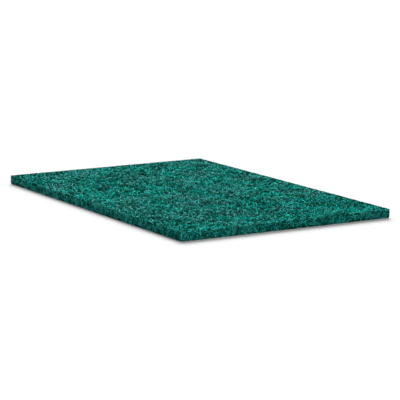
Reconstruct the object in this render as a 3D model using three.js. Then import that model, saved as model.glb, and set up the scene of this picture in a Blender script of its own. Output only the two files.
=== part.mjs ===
// A scouring pad: one die-cut piece of springy nonwoven nylon web, lying flat.
// X runs along the long side, Y along the short side and Z through the thickness.
// The origin is the middle of the face that it lies on. Lengths are in millimetres.

import * as THREE from "three";
import { mergeVertices } from "three/addons/utils/BufferGeometryUtils.js";

// Driving sizes
const padLength = 228.6; // 9 inches
const padWidth = 152.4; // 6 inches
const padThickness = 6; // over the highest strands of both faces
const coreThickness = 1.2; // of the web between the deepest pockets of the two faces
const edgeFray = 0.6; // how far a cut side draws back between the ends of its strands
const arrisDrop = 0.25; // how far the web is pressed down along a cut by the die

const pocketDepth = (padThickness - coreThickness) / 2;
const size = [padLength, padWidth, padThickness];
const relief = [edgeFray, edgeFray, pocketDepth]; // of the sides that face along each axis

// How the web is laid out: a grid of crossings, at each of which strands are bonded or a pocket is open
const cells = [60, 40, 3]; // along X, Y and Z, the same for any size of pad, so that a large one stays light
const rowShift = 0.25; // how far even rows of crossings are set one way and odd rows the other, in cells
const cellJitter = 0.27; // how far a crossing wanders from its place in the row, in cells
const pocketSpacing = [0.9, 1.7]; // the range of the least distance between two pockets, in cells
const triesPerCell = 3; // places tried for a pocket

// Depths as a share of the relief of a side: 0 is the highest strand and 1 the deepest pocket
const lowestStrand = 0.25;
const shallowestPocket = 0.6;

const webSeed = 41;

const random = THREE.MathUtils.seededRandom;
const between = (low, high) => low + (high - low) * random();
const gridKey = (crossing) => crossing.join(",");

// A box cut into cells, with each grid crossing as one shared vertex.
function griddedBox() {
  const box = new THREE.BoxGeometry(...size, ...cells);
  box.deleteAttribute("normal");
  box.deleteAttribute("uv");
  return mergeVertices(box);
}

// The grid crossing that a vertex of the box stands on, counted in cells from the lowest corner.
function crossingOf(position, vertex) {
  return cells.map((count, axis) =>
    Math.round((position.getComponent(vertex, axis) / size[axis] + 0.5) * count),
  );
}

// Which sides of the box a crossing is on, axis by axis: -1 or 1 on a side, 0 between the two.
function sidesOf(crossing) {
  return crossing.map((step, axis) => (step === 0 ? -1 : step === cells[axis] ? 1 : 0));
}

// Where a crossing stands in cells once its row is shifted, so that strands run on in six directions.
function shifted(crossing) {
  const along = sidesOf(crossing).indexOf(0);
  const row = crossing.reduce((sum, step, axis) => (axis === along ? sum : sum + step), 0);
  return crossing.map((step, axis) => (axis !== along ? step : row % 2 === 0 ? step + rowShift : step - rowShift));
}

// Opens pockets over one side of the box, far enough apart for strands to run between them.
function pocketsOver(axis, level) {
  const pockets = new Map();
  const cellsOfSide = cells.reduce((product, count, other) => (other === axis ? product : product * count), 1);
  for (let tries = cellsOfSide * triesPerCell; tries > 0; tries--) {
    const crossing = cells.map((count) => Math.floor(between(0, count + 1)));
    crossing[axis] = level;
    const place = new THREE.Vector3(...shifted(crossing));
    const room = between(...pocketSpacing);
    if ([...pockets.values()].every((other) => other.distanceTo(place) > room)) pockets.set(gridKey(crossing), place);
  }
  return pockets;
}

// Moves each crossing to its place in the web, and down to the strand or the pocket there.
function layWeb(web) {
  const position = web.getAttribute("position");
  const pockets = cells.map((count, axis) => ({ [-1]: pocketsOver(axis, 0), [1]: pocketsOver(axis, count) }));
  for (let vertex = 0; vertex < position.count; vertex++) {
    const crossing = crossingOf(position, vertex);
    const sides = sidesOf(crossing);
    const onArris = sides.filter((side) => side !== 0).length > 1;
    const place = shifted(crossing);
    sides.forEach((side, axis) => {
      if (side === 0) {
        const cell = size[axis] / cells[axis];
        position.setComponent(vertex, axis, (place[axis] + between(-cellJitter, cellJitter)) * cell - size[axis] / 2);
        return;
      }
      const inPocket = pockets[axis][side].has(gridKey(crossing));
      const share = inPocket ? between(shallowestPocket, 1) : Math.max(0, between(-lowestStrand, lowestStrand));
      const depth = share * (onArris ? arrisDrop : relief[axis]);
      position.setComponent(vertex, axis, side * (size[axis] / 2 - depth));
    });
  }
}

// Folds each four-cornered cell along its shorter diagonal, which joins strands rather than a strand and a pocket.
// Like a plane of one cell, each cell of the web is listed as the triangles a, b, d and b, c, d.
function foldAlongStrands(web) {
  const cornersListed = new THREE.PlaneGeometry().getIndex().count;
  const index = web.getIndex();
  const position = web.getAttribute("position");
  const corner = (vertex) => new THREE.Vector3().fromBufferAttribute(position, vertex);
  for (let start = 0; start < index.count; start += cornersListed) {
    const [a, b, d, , c] = index.array.slice(start, start + cornersListed);
    const foldOnAC = corner(a).distanceTo(corner(c)) < corner(b).distanceTo(corner(d));
    index.array.set(foldOnAC ? [a, b, c, a, c, d] : [a, b, d, b, c, d], start);
  }
}

function scouringPad() {
  random(webSeed);
  const web = griddedBox();
  layWeb(web);
  foldAlongStrands(web);
  web.translate(0, 0, padThickness / 2); // from the middle of the thickness to the face that it lies on
  web.computeVertexNormals();
  const nylon = new THREE.MeshStandardMaterial({ color: "#176d63", roughness: 0.75, metalness: 0, flatShading: true });
  const pad = new THREE.Mesh(web, nylon);
  pad.name = "scouring_pad";
  return pad;
}

const part = new THREE.Group();
part.add(scouringPad());
export default part;
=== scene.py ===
import math

import bpy
from mathutils import Matrix, Vector


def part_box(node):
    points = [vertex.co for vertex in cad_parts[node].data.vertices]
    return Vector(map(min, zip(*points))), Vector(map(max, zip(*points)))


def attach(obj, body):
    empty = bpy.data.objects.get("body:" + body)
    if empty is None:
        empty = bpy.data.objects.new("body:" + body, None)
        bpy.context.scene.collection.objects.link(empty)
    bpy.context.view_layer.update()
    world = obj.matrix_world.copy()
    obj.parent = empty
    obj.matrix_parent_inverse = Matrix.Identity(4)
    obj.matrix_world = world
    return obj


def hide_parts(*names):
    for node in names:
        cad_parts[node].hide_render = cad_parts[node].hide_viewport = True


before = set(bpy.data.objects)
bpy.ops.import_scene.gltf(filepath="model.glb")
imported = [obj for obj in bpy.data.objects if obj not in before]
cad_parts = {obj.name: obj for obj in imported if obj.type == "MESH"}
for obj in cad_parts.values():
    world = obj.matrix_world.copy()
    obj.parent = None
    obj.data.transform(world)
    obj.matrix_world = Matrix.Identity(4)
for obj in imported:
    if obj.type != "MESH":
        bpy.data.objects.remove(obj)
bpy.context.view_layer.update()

# A nylon scouring pad: one die-cut sheet of open web, made of crimped fibres bonded with resin.
# It lies flat, with its long side along X and its short side along Y.
# Sizes are written in millimetres and turned to metres by mm.

mm = 0.001
padLow, padHigh = (Vector(corner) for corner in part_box("scouring_pad"))
padSize = padHigh - padLow
padMiddle = (padLow + padHigh) / 2


def linearColour(hexColour):
    # a colour picker's sRGB hex value as the linear colour that Blender's nodes take
    channels = [int(hexColour[i:i + 2], 16) / 255 for i in (1, 3, 5)]
    return tuple(c / 12.92 if c <= 0.04045 else ((c + 0.055) / 1.055) ** 2.4 for c in channels) + (1.0,)


def addNode(tree, kind, inputs=None, **settings):
    # adds a node, then sets its inputs: a socket is linked and anything else is a value
    node = tree.nodes.new(kind)
    for name, value in settings.items():
        setattr(node, name, value)
    for socket, value in (inputs or {}).items():
        if isinstance(value, bpy.types.NodeSocket):
            tree.links.new(value, node.inputs[socket])
        else:
            node.inputs[socket].default_value = value
    return node


def newMaterial(name):
    material = bpy.data.materials.new(name)
    material.use_nodes = True
    material.node_tree.nodes.clear()
    return material, material.node_tree


def newObject(name, data):
    thing = bpy.data.objects.new(name, data)
    bpy.context.scene.collection.objects.link(thing)
    return thing


def newTree(name, sizes):
    # a geometry node group that takes a mesh and the named sizes, and gives back a mesh
    tree = bpy.data.node_groups.new(name, "GeometryNodeTree")
    tree.interface.new_socket("Geometry", in_out="INPUT", socket_type="NodeSocketGeometry")
    for label, value in sizes.items():
        kind = "NodeSocketInt" if isinstance(value, int) else "NodeSocketFloat"
        kind = "NodeSocketVector" if isinstance(value, Vector) else kind
        tree.interface.new_socket(label, in_out="INPUT", socket_type=kind)
    tree.interface.new_socket("Geometry", in_out="OUTPUT", socket_type="NodeSocketGeometry")
    return tree, addNode(tree, "NodeGroupInput").outputs


def makeWith(tree, thing, sizes):
    # runs a node group on an object, with its inputs set by identifier, and keeps the result as a plain mesh
    modifier = thing.modifiers.new(tree.name, "NODES")
    modifier.node_group = tree
    for item in tree.interface.items_tree:
        if item.in_out == "INPUT" and item.name in sizes:
            modifier[item.identifier] = sizes[item.name]
    depsgraph = bpy.context.evaluated_depsgraph_get()
    mesh = bpy.data.meshes.new_from_object(thing.evaluated_get(depsgraph))
    thing.modifiers.remove(modifier)
    thing.data = mesh
    mesh.name = thing.name


noiseSwing = 0.25  # how far Blender's noise mostly goes to either side of its middle, 0.5
noiseMiddle = (0.5, 0.5, 0.5)
ownNoiseReach = 50.0  # metres of noise that fibres start in, so that no two curl alike

# The fibres are nylon staple, crimped when it was drawn, which lies in random curls.
fibreSizes = {
    "Fibre Length": 12 * mm,
    "Shortest Share": 0.7,
    "Longest Share": 1.3,
    "Fibre Thickness": 0.6 * mm,  # of the thickest; a real fibre in its resin is half this, and wouldn't show
    "Thinnest Share": 0.6,
    "Curl": 1.3 * mm,  # how far a fibre wanders from straight
    "Curl Length": 5 * mm,
    "Crimp": 1.3 * mm,  # how far it goes up and down
    "Crimp Length": 4.6 * mm,
    "Tilt": math.radians(20),
    "Steps": 11,
    "Box Low": padLow,
    "Box High": padHigh,
    "Fibres": 1000,
    "Seed": 1,
}
fibreSeeds = {"tilt": 11, "heading": 12, "length": 13, "tone": 14, "ownNoise": 15}


def fibrePlyTree(material):
    tree, sizes = newTree("Fibre Ply", fibreSizes)
    area = addNode(tree, "GeometryNodeAttributeStatistic", {
        "Geometry": sizes["Geometry"],
        2: addNode(tree, "GeometryNodeInputMeshFaceArea").outputs["Area"],
    }, domain="FACE")
    density = addNode(tree, "ShaderNodeMath", {
        0: sizes["Fibres"], 1: area.outputs["Sum"],
    }, operation="DIVIDE")
    points = addNode(tree, "GeometryNodeDistributePointsOnFaces", {
        "Mesh": sizes["Geometry"], "Density": density.outputs[0], "Seed": sizes["Seed"],
    }, distribute_method="RANDOM")

    # a straight fibre, in as many steps as its curls need
    half = addNode(tree, "ShaderNodeMath", {0: sizes["Fibre Length"], 1: 0.5}, operation="MULTIPLY")
    minusHalf = addNode(tree, "ShaderNodeMath", {0: sizes["Fibre Length"], 1: -0.5}, operation="MULTIPLY")
    line = addNode(tree, "GeometryNodeCurvePrimitiveLine", {
        "Start": addNode(tree, "ShaderNodeCombineXYZ", {"X": minusHalf.outputs[0]}).outputs[0],
        "End": addNode(tree, "ShaderNodeCombineXYZ", {"X": half.outputs[0]}).outputs[0],
    })
    pointCount = addNode(tree, "ShaderNodeMath", {0: sizes["Steps"], 1: 1.0}, operation="ADD")
    straight = addNode(tree, "GeometryNodeResampleCurve", {
        "Curve": line.outputs[0], "Count": pointCount.outputs[0],
    })

    # laid on the sheet in any direction, and tilted out of it
    tiltBack = addNode(tree, "ShaderNodeMath", {0: sizes["Tilt"], 1: -1.0}, operation="MULTIPLY")
    tilt = addNode(tree, "FunctionNodeRandomValue", {
        2: tiltBack.outputs[0], 3: sizes["Tilt"], "Seed": fibreSeeds["tilt"],
    }, data_type="FLOAT")
    heading = addNode(tree, "FunctionNodeRandomValue", {
        2: 0.0, 3: 2 * math.pi, "Seed": fibreSeeds["heading"],
    }, data_type="FLOAT")
    turn = addNode(tree, "FunctionNodeEulerToRotation", {
        0: addNode(tree, "ShaderNodeCombineXYZ", {"Y": tilt.outputs[1], "Z": heading.outputs[1]}).outputs[0],
    })
    facing = addNode(tree, "FunctionNodeRotateRotation", {
        0: points.outputs["Rotation"], 1: turn.outputs[0],
    }, rotation_space="LOCAL")
    length = addNode(tree, "FunctionNodeRandomValue", {
        2: sizes["Shortest Share"], 3: sizes["Longest Share"], "Seed": fibreSeeds["length"],
    }, data_type="FLOAT")
    stretch = addNode(tree, "ShaderNodeCombineXYZ", {"X": length.outputs[1], "Y": 1.0, "Z": 1.0})
    laid = addNode(tree, "GeometryNodeInstanceOnPoints", {
        "Points": points.outputs["Points"], "Instance": straight.outputs[0],
        "Rotation": facing.outputs[0], "Scale": stretch.outputs[0],
    })

    # each fibre keeps a tone and a place in the noise of its own
    tone = addNode(tree, "FunctionNodeRandomValue", {
        2: 0.0, 3: 1.0, "Seed": fibreSeeds["tone"],
    }, data_type="FLOAT")
    toned = addNode(tree, "GeometryNodeStoreNamedAttribute", {
        "Geometry": laid.outputs[0], "Name": "tone", "Value": tone.outputs[1],
    }, data_type="FLOAT", domain="INSTANCE")
    ownNoise = addNode(tree, "FunctionNodeRandomValue", {
        0: (0.0, 0.0, 0.0), 1: (ownNoiseReach,) * 3, "Seed": fibreSeeds["ownNoise"],
    }, data_type="FLOAT_VECTOR")
    marked = addNode(tree, "GeometryNodeStoreNamedAttribute", {
        "Geometry": toned.outputs[0], "Name": "ownNoise", "Value": ownNoise.outputs[0],
    }, data_type="FLOAT_VECTOR", domain="INSTANCE")
    fibres = addNode(tree, "GeometryNodeRealizeInstances", {"Geometry": marked.outputs[0]})

    # curled by noise
    place = addNode(tree, "GeometryNodeInputPosition")
    own = addNode(tree, "GeometryNodeInputNamedAttribute", {"Name": "ownNoise"}, data_type="FLOAT_VECTOR")
    noisePlace = addNode(tree, "ShaderNodeVectorMath", {
        0: place.outputs[0], 1: own.outputs[0],
    }, operation="ADD")
    noiseScale = addNode(tree, "ShaderNodeMath", {0: 1.0, 1: sizes["Curl Length"]}, operation="DIVIDE")
    curls = addNode(tree, "ShaderNodeTexNoise", {
        "Vector": noisePlace.outputs[0], "Scale": noiseScale.outputs[0], "Detail": 1.0, "Roughness": 0.5,
    }, noise_dimensions="3D", normalize=True)
    centred = addNode(tree, "ShaderNodeVectorMath", {
        0: curls.outputs["Color"], 1: noiseMiddle,
    }, operation="SUBTRACT")
    reach = addNode(tree, "ShaderNodeMath", {0: sizes["Curl"], 1: 1 / noiseSwing}, operation="MULTIPLY")
    curl = addNode(tree, "ShaderNodeVectorMath", {
        0: centred.outputs[0], "Scale": reach.outputs[0],
    }, operation="SCALE")
    curled = addNode(tree, "ShaderNodeVectorMath", {0: place.outputs[0], 1: curl.outputs[0]}, operation="ADD")

    # crimped up and down along its length, each from a phase of its own
    along = addNode(tree, "GeometryNodeSplineParameter").outputs["Length"]
    waves = addNode(tree, "ShaderNodeMath", {0: along, 1: sizes["Crimp Length"]}, operation="DIVIDE")
    startAt = addNode(tree, "ShaderNodeSeparateXYZ", {0: own.outputs[0]})
    phase = addNode(tree, "ShaderNodeMath", {0: waves.outputs[0], 1: startAt.outputs["X"]}, operation="ADD")
    angle = addNode(tree, "ShaderNodeMath", {0: phase.outputs[0], 1: 2 * math.pi}, operation="MULTIPLY")
    swing = addNode(tree, "ShaderNodeMath", {0: angle.outputs[0]}, operation="SINE")
    rise = addNode(tree, "ShaderNodeMath", {0: swing.outputs[0], 1: sizes["Crimp"]}, operation="MULTIPLY")
    upDown = addNode(tree, "ShaderNodeCombineXYZ", {"Z": rise.outputs[0]})
    crimped = addNode(tree, "ShaderNodeVectorMath", {
        0: curled.outputs[0], 1: upDown.outputs[0],
    }, operation="ADD")

    # turned back into the web where it would leave the pad's box, as often as it takes
    radius = addNode(tree, "ShaderNodeMath", {0: sizes["Fibre Thickness"], 1: 0.5}, operation="MULTIPLY")
    lowest = addNode(tree, "ShaderNodeVectorMath", {
        0: sizes["Box Low"], 1: radius.outputs[0],
    }, operation="ADD")
    highest = addNode(tree, "ShaderNodeVectorMath", {
        0: sizes["Box High"], 1: radius.outputs[0],
    }, operation="SUBTRACT")
    room = addNode(tree, "ShaderNodeVectorMath", {
        0: highest.outputs[0], 1: lowest.outputs[0],
    }, operation="SUBTRACT")
    roomBelow = addNode(tree, "ShaderNodeVectorMath", {0: room.outputs[0], "Scale": -1.0}, operation="SCALE")
    above = addNode(tree, "ShaderNodeVectorMath", {
        0: crimped.outputs[0], 1: lowest.outputs[0],
    }, operation="SUBTRACT")
    wrapped = addNode(tree, "ShaderNodeVectorMath", {
        0: above.outputs[0], 1: room.outputs[0], 2: roomBelow.outputs[0],
    }, operation="WRAP")
    turnedBack = addNode(tree, "ShaderNodeVectorMath", {0: wrapped.outputs[0]}, operation="ABSOLUTE")
    inside = addNode(tree, "ShaderNodeVectorMath", {
        0: turnedBack.outputs[0], 1: lowest.outputs[0],
    }, operation="ADD")
    moved = addNode(tree, "GeometryNodeSetPosition", {
        "Geometry": fibres.outputs[0], "Position": inside.outputs[0],
    })

    # three flat sides are enough to round a fibre this thin
    girth = addNode(tree, "ShaderNodeMapRange", {
        "Value": startAt.outputs["Y"], "From Max": ownNoiseReach,
        "To Min": sizes["Thinnest Share"], "To Max": 1.0,
    })
    thinned = addNode(tree, "GeometryNodeSetCurveRadius", {
        "Curve": moved.outputs[0], "Radius": girth.outputs[0],
    })
    section = addNode(tree, "GeometryNodeCurvePrimitiveCircle", {
        "Resolution": 3, "Radius": radius.outputs[0],
    }, mode="RADIUS")
    solid = addNode(tree, "GeometryNodeCurveToMesh", {
        "Curve": thinned.outputs[0], "Profile Curve": section.outputs[0], "Fill Caps": True,
    })
    forgotten = addNode(tree, "GeometryNodeRemoveAttribute", {
        "Geometry": solid.outputs[0], "Name": "ownNoise",
    })
    smooth = addNode(tree, "GeometryNodeSetShadeSmooth", {"Geometry": forgotten.outputs[0]})
    realized = addNode(tree, "GeometryNodeRealizeInstances", {"Geometry": smooth.outputs[0]})
    finished = addNode(tree, "GeometryNodeSetMaterial", {
        "Geometry": realized.outputs[0], "Material": material,
    })
    addNode(tree, "NodeGroupOutput", {"Geometry": finished.outputs[0]})
    return tree


def sheetMesh(name, corners):
    # one flat four-cornered sheet for each list of corners, facing the way its corners run
    mesh = bpy.data.meshes.new(name)
    points = [corner for sheet in corners for corner in sheet]
    mesh.from_pydata(points, [], [tuple(range(i, i + 4)) for i in range(0, len(points), 4)])
    mesh.update()
    return mesh


def layFlat(height, up):
    # the corners of a sheet as large as the pad, at a height in millimetres over the face that it lies on
    z = padLow.z + height * mm
    x0, y0, x1, y1 = padLow.x, padLow.y, padHigh.x, padHigh.y
    corners = [(x0, y0, z), (x1, y0, z), (x1, y1, z), (x0, y1, z)]
    return corners if up else corners[::-1]


def standRound(inset, past):
    # the corners of four upright sheets inside the cut sides that run on past the faces, both in millimetres
    x0, y0 = padLow.x + inset * mm, padLow.y + inset * mm
    x1, y1 = padHigh.x - inset * mm, padHigh.y - inset * mm
    z0, z1 = padLow.z - past * mm, padHigh.z + past * mm
    ring = [(x0, y0), (x1, y0), (x1, y1), (x0, y1)]
    return [[(*a, z0), (*b, z0), (*b, z1), (*a, z1)] for a, b in zip(ring, ring[1:] + ring[:1])]


webFinish = {
    "fibre": "#006e60",
    "paleHighlightFibre": "#22fce9",
    "paleHighlightTones": (0.2, 0.9),  # the tone at which a fibre starts to be paler, and at which it is the palest; pale fibres are a random tone and also painted highlight
    "fading": 0.095,  # how much of its saturation the dye has lost in patches and along the cut
    "fadedHue": 0.01,  # and how far it has turned to blue there
    "patchSize": 24 * mm,
    "patchLevels": (0.46, 0.66),  # of the noise, between which a patch comes in
    # the dark grain's colour, which is also the colour of the painted shade deep in the web and at the cut
    # sides
    "grain": "#003932",
    "grainSize": 0.6 * mm,  # real grit is a fifth of this, and wouldn't show
    "grainLevels": (0.3, 0.56),
    "fullShadeDepth": 2.2 * mm,  # where the painted shade is deepest
    "deepestLightShare": 0.2,  # the share of the fibre colour left there, under painted shade in the grain colour
    "cutDepth": 0.8 * mm,  # how deep a cut side is painted in shade, and how far in the fading along the cut reaches
    "fibreRoughness": 0.35,  # glossy plastic, before the grain
    "bondedStrand": "#006a5e",
    # painted shade: the dark seen down the gaps between the strands
    "gapShade": "#002a24",
    "bondedGrainLevels": (0.2, 0.6),
    "bondedRoughness": 0.7,
    "strandLayers": 4,
    "strandSpacing": 1.7 * mm,  # of the strands drawn on the core, finer than the ones with a shape
    "strandWidth": 0.07,  # as a share of the noise between one strand and the next
    "strandHeight": 0.35 * mm,
    "ior": 1.53,  # nylon's
    "shine": 0.004,  # the resin's specular level, low because grain breaks it up; painted highlight in the pale fibres stands in for its glints
}
layerStep = (0.31, 0.17, 0.23)  # metres of noise from one layer of strands to the next


def noiseShare(tree, place, size, levels):
    # blotches about a size apart, as a share from 0 to 1 that rises between two levels of the noise
    blotches = addNode(tree, "ShaderNodeTexNoise", {
        "Vector": place, "Scale": 1 / size, "Detail": 1.0, "Roughness": 0.5,
    })
    return addNode(tree, "ShaderNodeMapRange", {
        "Value": blotches.outputs[0], "From Min": levels[0], "From Max": levels[1],
    }).outputs[0]


def depthsAt(tree, place):
    # how deep a place is under the nearest cut side, and under the nearest face
    fromMiddle = addNode(tree, "ShaderNodeVectorMath", {0: place, 1: padMiddle}, operation="SUBTRACT")
    eitherWay = addNode(tree, "ShaderNodeVectorMath", {0: fromMiddle.outputs[0]}, operation="ABSOLUTE")
    depths = addNode(tree, "ShaderNodeVectorMath", {
        0: padSize / 2, 1: eitherWay.outputs[0],
    }, operation="SUBTRACT")
    along = addNode(tree, "ShaderNodeSeparateXYZ", {0: depths.outputs[0]}).outputs
    fromSides = addNode(tree, "ShaderNodeMath", {0: along["X"], 1: along["Y"]}, operation="MINIMUM")
    return fromSides.outputs[0], along["Z"]


def unshadedShare(tree, fromSides, fromFaces):
    # painted shade, as the share of the fibre colour left: 1 on the outside of the pad, and less further in
    # below the faces and behind the cut sides
    belowCut = addNode(tree, "ShaderNodeMath", {0: fromSides, 1: webFinish["cutDepth"]}, operation="ADD")
    depth = addNode(tree, "ShaderNodeMath", {0: belowCut.outputs[0], 1: fromFaces}, operation="MINIMUM")
    return addNode(tree, "ShaderNodeMapRange", {
        "Value": depth.outputs[0], "From Max": webFinish["fullShadeDepth"],
        "To Min": 1.0, "To Max": webFinish["deepestLightShare"],
    }).outputs[0]


def strandPattern(tree, place):
    # curled strands that cross each other: each layer follows a level line of its own noise
    web = None
    for layer in range(webFinish["strandLayers"]):
        shifted = addNode(tree, "ShaderNodeVectorMath", {
            0: place, 1: tuple(layer * step for step in layerStep),
        }, operation="ADD")
        noise = addNode(tree, "ShaderNodeTexNoise", {
            "Vector": shifted.outputs[0], "Scale": 1 / webFinish["strandSpacing"], "Detail": 0.0,
        })
        fromLevel = addNode(tree, "ShaderNodeMath", {0: noise.outputs[0], 1: 0.5}, operation="SUBTRACT")
        eitherSide = addNode(tree, "ShaderNodeMath", {0: fromLevel.outputs[0]}, operation="ABSOLUTE")
        strand = addNode(tree, "ShaderNodeMapRange", {
            "Value": eitherSide.outputs[0], "From Min": webFinish["strandWidth"], "From Max": 0.0,
        }, interpolation_type="SMOOTHSTEP").outputs[0]
        if web is None:
            web = strand
        else:
            web = addNode(tree, "ShaderNodeMath", {0: web, 1: strand}, operation="MAXIMUM").outputs[0]
    return web


def coatedNylon():
    # nylon fibre sprayed with dyed resin: grain in the resin dulls it, painted shade darkens it further in
    # and at the cut sides, and its pale fibres are partly painted highlight
    material, tree = newMaterial("resin coated nylon fibre")
    place = addNode(tree, "ShaderNodeTexCoord").outputs["Object"]
    fromSides, fromFaces = depthsAt(tree, place)

    # a tone for each fibre, which has faded in patches and along the cut; the paler tones are also painted
    # highlight
    tone = addNode(tree, "ShaderNodeAttribute", attribute_name="tone")
    paleHighlight = addNode(tree, "ShaderNodeMapRange", {
        "Value": tone.outputs["Fac"],
        "From Min": webFinish["paleHighlightTones"][0], "From Max": webFinish["paleHighlightTones"][1],
    })
    dyed = addNode(tree, "ShaderNodeMix", {
        "Factor": paleHighlight.outputs[0],
        6: linearColour(webFinish["fibre"]), 7: linearColour(webFinish["paleHighlightFibre"]),
    }, data_type="RGBA")
    patches = noiseShare(tree, place, webFinish["patchSize"], webFinish["patchLevels"])
    cut = addNode(tree, "ShaderNodeMapRange", {
        "Value": fromSides, "From Max": webFinish["cutDepth"], "To Min": 1.0, "To Max": 0.0,
    })
    worn = addNode(tree, "ShaderNodeMath", {0: patches, 1: cut.outputs[0]}, operation="MAXIMUM")
    faded = addNode(tree, "ShaderNodeHueSaturation", {
        "Hue": 0.5 + webFinish["fadedHue"], "Saturation": 1 - webFinish["fading"], "Fac": worn.outputs[0],
        "Color": dyed.outputs[2],
    })

    # dark grain speckles, and painted shade in the grain colour further in below the faces and at the cut
    # sides
    grain = noiseShare(tree, place, webFinish["grainSize"], webFinish["grainLevels"])
    clearOfGrainAndShade = addNode(tree, "ShaderNodeMath", {
        0: grain, 1: unshadedShare(tree, fromSides, fromFaces),
    }, operation="MULTIPLY")
    colour = addNode(tree, "ShaderNodeMix", {
        "Factor": clearOfGrainAndShade.outputs[0], 6: linearColour(webFinish["grain"]), 7: faded.outputs[0],
    }, data_type="RGBA")
    surface = addNode(tree, "ShaderNodeBsdfPrincipled", {
        "Base Color": colour.outputs[2], "Roughness": webFinish["fibreRoughness"], "IOR": webFinish["ior"],
        "Specular IOR Level": webFinish["shine"],
    })
    addNode(tree, "ShaderNodeOutputMaterial", {"Surface": surface.outputs[0]})
    return material


def bondedWeb():
    # the thick of the nonwoven web: finer strands glued where they cross, dull, with painted shade in the
    # gaps between them
    material, tree = newMaterial("bonded nylon web")
    place = addNode(tree, "ShaderNodeTexCoord").outputs["Object"]
    strands = strandPattern(tree, place)
    grain = noiseShare(tree, place, webFinish["grainSize"], webFinish["bondedGrainLevels"])
    seen = addNode(tree, "ShaderNodeMath", {0: strands, 1: grain}, operation="MULTIPLY")
    colour = addNode(tree, "ShaderNodeMix", {
        "Factor": seen.outputs[0],
        6: linearColour(webFinish["gapShade"]), 7: linearColour(webFinish["bondedStrand"]),
    }, data_type="RGBA")
    raised = addNode(tree, "ShaderNodeBump", {"Height": strands, "Distance": webFinish["strandHeight"]})
    surface = addNode(tree, "ShaderNodeBsdfPrincipled", {
        "Base Color": colour.outputs[2], "Roughness": webFinish["bondedRoughness"], "IOR": webFinish["ior"],
        "Specular IOR Level": webFinish["shine"], "Normal": raised.outputs[0],
    })
    addNode(tree, "ShaderNodeOutputMaterial", {"Surface": surface.outputs[0]})
    return material


# The core is the thick of the web, under the open fibres of its faces.
coreSizes = {
    "Box Low": padLow,
    "Box High": padHigh,
    "Face Depth": 2.2 * mm,  # of the core under the fibres of a face
    "Edge Depth": 0.25 * mm,  # and next to a cut side, where the die has pressed the web together
    "Edge Width": 1.6 * mm,
    "Side Depth": 0.35 * mm,
    "Bump": 0.9 * mm,
    "Side Bump Share": 0.35,
    "Bump Length": 3 * mm,
    "Cell": 1.1 * mm,
}


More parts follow.
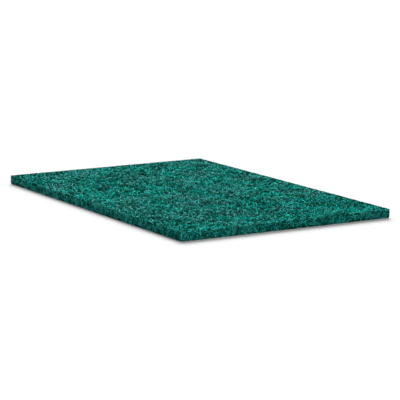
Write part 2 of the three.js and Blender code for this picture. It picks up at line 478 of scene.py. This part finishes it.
def webCoreTree(material):
    tree, sizes = newTree("Web Core", coreSizes)
    size = addNode(tree, "ShaderNodeVectorMath", {
        0: sizes["Box High"], 1: sizes["Box Low"],
    }, operation="SUBTRACT")
    counts = addNode(tree, "ShaderNodeVectorMath", {0: size.outputs[0], 1: sizes["Cell"]}, operation="DIVIDE")
    countParts = addNode(tree, "ShaderNodeSeparateXYZ", {0: counts.outputs[0]})
    box = addNode(tree, "GeometryNodeMeshCube", {
        "Size": (1.0, 1.0, 1.0), "Vertices X": countParts.outputs["X"], "Vertices Y": countParts.outputs["Y"],
        "Vertices Z": countParts.outputs["Z"],
    })

    # places across the box, from -0.5 to 0.5, drawn in at the sides
    place = addNode(tree, "GeometryNodeInputPosition")
    inset = addNode(tree, "ShaderNodeCombineXYZ", {"X": sizes["Side Depth"], "Y": sizes["Side Depth"]})
    insetTwice = addNode(tree, "ShaderNodeVectorMath", {0: inset.outputs[0], "Scale": 2.0}, operation="SCALE")
    inner = addNode(tree, "ShaderNodeVectorMath", {
        0: size.outputs[0], 1: insetTwice.outputs[0],
    }, operation="SUBTRACT")
    spread = addNode(tree, "ShaderNodeVectorMath", {
        0: place.outputs[0], 1: inner.outputs[0],
    }, operation="MULTIPLY")

    # the core sinks from its edge, so how deep it lies follows from how far the nearest side is
    fromMiddle = addNode(tree, "ShaderNodeVectorMath", {0: place.outputs[0]}, operation="ABSOLUTE")
    toSide = addNode(tree, "ShaderNodeVectorMath", {
        0: (0.5, 0.5, 0.5), 1: fromMiddle.outputs[0],
    }, operation="SUBTRACT")
    toSideLength = addNode(tree, "ShaderNodeVectorMath", {
        0: toSide.outputs[0], 1: inner.outputs[0],
    }, operation="MULTIPLY")
    sideParts = addNode(tree, "ShaderNodeSeparateXYZ", {0: toSideLength.outputs[0]})
    nearest = addNode(tree, "ShaderNodeMath", {
        0: sideParts.outputs["X"], 1: sideParts.outputs["Y"],
    }, operation="MINIMUM")
    sunk = addNode(tree, "ShaderNodeMapRange", {
        "Value": nearest.outputs[0], "From Min": 0.0, "From Max": sizes["Edge Width"],
        "To Min": sizes["Edge Depth"], "To Max": sizes["Face Depth"],
    }, interpolation_type="SMOOTHSTEP")

    # strands pull the core up and pockets open it, the more so away from the edges
    noiseScale = addNode(tree, "ShaderNodeMath", {0: 1.0, 1: sizes["Bump Length"]}, operation="DIVIDE")
    strands = addNode(tree, "ShaderNodeTexNoise", {
        "Vector": spread.outputs[0], "Scale": noiseScale.outputs[0], "Detail": 2.0, "Roughness": 0.6,
    }, noise_dimensions="3D", normalize=True)
    centred = addNode(tree, "ShaderNodeVectorMath", {
        0: strands.outputs["Color"], 1: noiseMiddle,
    }, operation="SUBTRACT")
    bump = addNode(tree, "ShaderNodeMath", {0: sizes["Bump"], 1: 1 / noiseSwing}, operation="MULTIPLY")
    moves = addNode(tree, "ShaderNodeVectorMath", {
        0: centred.outputs[0], "Scale": bump.outputs[0],
    }, operation="SCALE")
    moveParts = addNode(tree, "ShaderNodeSeparateXYZ", {0: moves.outputs[0]})
    bumpShare = addNode(tree, "ShaderNodeMath", {
        0: sunk.outputs[0], 1: sizes["Face Depth"],
    }, operation="DIVIDE")
    moveUp = addNode(tree, "ShaderNodeMath", {
        0: moveParts.outputs["Z"], 1: bumpShare.outputs[0],
    }, operation="MULTIPLY")
    depth = addNode(tree, "ShaderNodeMath", {0: sunk.outputs[0], 1: moveUp.outputs[0]}, operation="ADD")
    depthTwice = addNode(tree, "ShaderNodeMath", {0: depth.outputs[0], 1: 2.0}, operation="MULTIPLY")
    sizeParts = addNode(tree, "ShaderNodeSeparateXYZ", {0: size.outputs[0]})
    thickness = addNode(tree, "ShaderNodeMath", {
        0: sizeParts.outputs["Z"], 1: depthTwice.outputs[0],
    }, operation="SUBTRACT")
    placeParts = addNode(tree, "ShaderNodeSeparateXYZ", {0: place.outputs[0]})
    height = addNode(tree, "ShaderNodeMath", {
        0: placeParts.outputs["Z"], 1: thickness.outputs[0],
    }, operation="MULTIPLY")
    sideMove = addNode(tree, "ShaderNodeVectorMath", {
        0: moves.outputs[0], "Scale": sizes["Side Bump Share"],
    }, operation="SCALE")
    sideways = addNode(tree, "ShaderNodeVectorMath", {
        0: spread.outputs[0], 1: sideMove.outputs[0],
    }, operation="ADD")
    sidewaysParts = addNode(tree, "ShaderNodeSeparateXYZ", {0: sideways.outputs[0]})
    formed = addNode(tree, "ShaderNodeCombineXYZ", {
        "X": sidewaysParts.outputs["X"], "Y": sidewaysParts.outputs["Y"], "Z": height.outputs[0],
    })

    # and put where the pad is
    corners = addNode(tree, "ShaderNodeVectorMath", {
        0: sizes["Box High"], 1: sizes["Box Low"],
    }, operation="ADD")
    middle = addNode(tree, "ShaderNodeVectorMath", {0: corners.outputs[0], "Scale": 0.5}, operation="SCALE")
    placed = addNode(tree, "ShaderNodeVectorMath", {
        0: formed.outputs[0], 1: middle.outputs[0],
    }, operation="ADD")
    moved = addNode(tree, "GeometryNodeSetPosition", {
        "Geometry": box.outputs["Mesh"], "Position": placed.outputs[0],
    })
    smooth = addNode(tree, "GeometryNodeSetShadeSmooth", {"Geometry": moved.outputs[0]})
    realized = addNode(tree, "GeometryNodeRealizeInstances", {"Geometry": smooth.outputs[0]})
    finished = addNode(tree, "GeometryNodeSetMaterial", {
        "Geometry": realized.outputs[0], "Material": material,
    })
    addNode(tree, "NodeGroupOutput", {"Geometry": finished.outputs[0]})
    return tree


# Each ply is a sheet that its fibres start from, with the sizes that differ from those of fibreSizes.
plies = {
    "topFibres": {"sheet": [layFlat(4.7, True)], "Fibres": 2600, "Seed": 3},
    "upperFibres": {"sheet": [layFlat(4.0, True)], "Fibres": 2600, "Seed": 5},
    "lowerFibres": {"sheet": [layFlat(2.0, False)], "Fibres": 2600, "Seed": 7},
    "undersideFibres": {"sheet": [layFlat(1.3, False)], "Fibres": 2600, "Seed": 9},
    "sideFibres": {
        "sheet": standRound(0.3, 0.9), "Fibres": 2500, "Seed": 11, "Tilt": math.radians(12), "Curl": 0.8 * mm,
        "Crimp": 0.3 * mm, "Fibre Length": 9 * mm, "Fibre Thickness": 0.45 * mm,
    },
}


def makePad():
    nylon = coatedNylon()
    web = bondedWeb()
    ply = fibrePlyTree(nylon)

    core = newObject("webCore", bpy.data.meshes.new("webCore"))
    makeWith(webCoreTree(web), core, coreSizes)
    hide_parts("scouring_pad")
    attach(core, "root")
    print("web core made,", len(core.data.polygons), "faces")

    for name, values in plies.items():
        fibres = newObject(name, sheetMesh(name, values["sheet"]))
        makeWith(ply, fibres, {**fibreSizes, **values})
        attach(fibres, "root")
        print(name, "made,", len(fibres.data.polygons), "faces")


studio = {
    "paper": 0.825,  # how white the sweep is to the light that falls on it
    "paperLift": 0.01,  # seen by the camera on top of that, so that open paper is white and its shadow isn't
    "paperReach": 12.0,  # metres, past all that the camera sees
    "sky": 0.24,
    # a large softbox behind the pad, so that its near sides stand darker than its face; angles are in degrees
    "softbox": {"strength": 4.45, "spread": 38, "azimuth": 243, "height": 35},
    # and a white card at the camera's right
    "fillCard": {"strength": 0.95, "spread": 60, "azimuth": 78, "height": 34},
}


def towards(azimuth, elevation):
    # the direction to a thing at an azimuth, counted from -Y towards +X, and an elevation, both in degrees
    turn, rise = math.radians(azimuth), math.radians(elevation)
    return Vector((math.sin(turn) * math.cos(rise), -math.cos(turn) * math.cos(rise), math.sin(rise)))


def seenShare(tree):
    # 1 where the camera sees it, also mirrored or through glass, and 0 where it only lights the pad
    rays = addNode(tree, "ShaderNodeLightPath").outputs
    seen = addNode(tree, "ShaderNodeMath", {
        0: rays["Is Camera Ray"], 1: rays["Is Glossy Ray"],
    }, operation="MAXIMUM")
    return addNode(tree, "ShaderNodeMath", {
        0: seen.outputs[0], 1: rays["Is Transmission Ray"],
    }, operation="MAXIMUM").outputs[0]


def whiteFloor():
    # matt white paper, washed out but for the shadow on it
    material, tree = newMaterial("white paper sweep")
    paper = addNode(tree, "ShaderNodeBsdfDiffuse", {"Color": (studio["paper"],) * 3 + (1.0,)})
    lift = addNode(tree, "ShaderNodeMath", {0: seenShare(tree), 1: studio["paperLift"]}, operation="MULTIPLY")
    glow = addNode(tree, "ShaderNodeEmission", {"Color": (1.0, 1.0, 1.0, 1.0), "Strength": lift.outputs[0]})
    both = addNode(tree, "ShaderNodeAddShader", {0: paper.outputs[0], 1: glow.outputs[0]})
    addNode(tree, "ShaderNodeOutputMaterial", {"Surface": both.outputs[0]})
    return material


def layFloor():
    far = studio["paperReach"]
    mesh = bpy.data.meshes.new("floor")
    mesh.from_pydata([(-far, -far, 0), (far, -far, 0), (far, far, 0), (-far, far, 0)], [], [(0, 1, 2, 3)])
    mesh.materials.append(whiteFloor())
    newObject("floor", mesh)


def hangLamp(name, strength, spread, azimuth, height):
    # a lamp so far off that it lights all of the sweep alike
    lamp = bpy.data.lights.new(name, "SUN")
    lamp.energy = strength
    lamp.angle = math.radians(spread)
    newObject(name, lamp).rotation_euler = towards(azimuth, height).to_track_quat("Z", "Y").to_euler()


def lightStudio():
    world = bpy.data.worlds.new("studio")
    bpy.context.scene.world = world
    world.use_nodes = True
    tree = world.node_tree
    tree.nodes.clear()
    strength = addNode(tree, "ShaderNodeMapRange", {
        "Value": seenShare(tree), "To Min": studio["sky"], "To Max": 1.0,
    })
    sky = addNode(tree, "ShaderNodeBackground", {
        "Color": (1.0, 1.0, 1.0, 1.0), "Strength": strength.outputs[0],
    })
    addNode(tree, "ShaderNodeOutputWorld", {"Surface": sky.outputs[0]})
    for name in ("softbox", "fillCard"):
        hangLamp(name, **studio[name])


cameraView = {
    "azimuth": 58.53,  # degrees, as are the elevation and the roll
    "elevation": 10.38,
    "roll": 0.38,
    "distance": 1267.2,  # to the middle of the pad
    "right": 5.51,  # how far the camera stands to the right of the line through the pad's middle
    "up": -2.90,
    "sensorWidth": 36,
    "focalLength": 173.8,
    "clipEnd": 100,  # metres
}


def placeCamera():
    data = bpy.data.cameras.new("camera")
    data.sensor_width = cameraView["sensorWidth"]
    data.lens = cameraView["focalLength"]
    data.clip_end = cameraView["clipEnd"]
    camera = newObject("camera", data)
    back = towards(cameraView["azimuth"], cameraView["elevation"])
    azimuth, roll = math.radians(cameraView["azimuth"]), math.radians(cameraView["roll"])
    level = Vector((math.cos(azimuth), math.sin(azimuth), 0))
    upright = back.cross(level)
    right = math.cos(roll) * level + math.sin(roll) * upright
    up = -math.sin(roll) * level + math.cos(roll) * upright
    fromMiddle = back * cameraView["distance"] + right * cameraView["right"] + up * cameraView["up"]
    place = padMiddle + fromMiddle * mm
    camera.matrix_world = Matrix.Translation(place) @ Matrix((right, up, back)).transposed().to_4x4()
    bpy.context.scene.camera = camera


print("sizes read from the frame")
makePad()
layFloor()
lightStudio()
placeCamera()
print("floor, lamps and camera set up")
bpy.context.scene.view_settings.view_transform = "Standard"
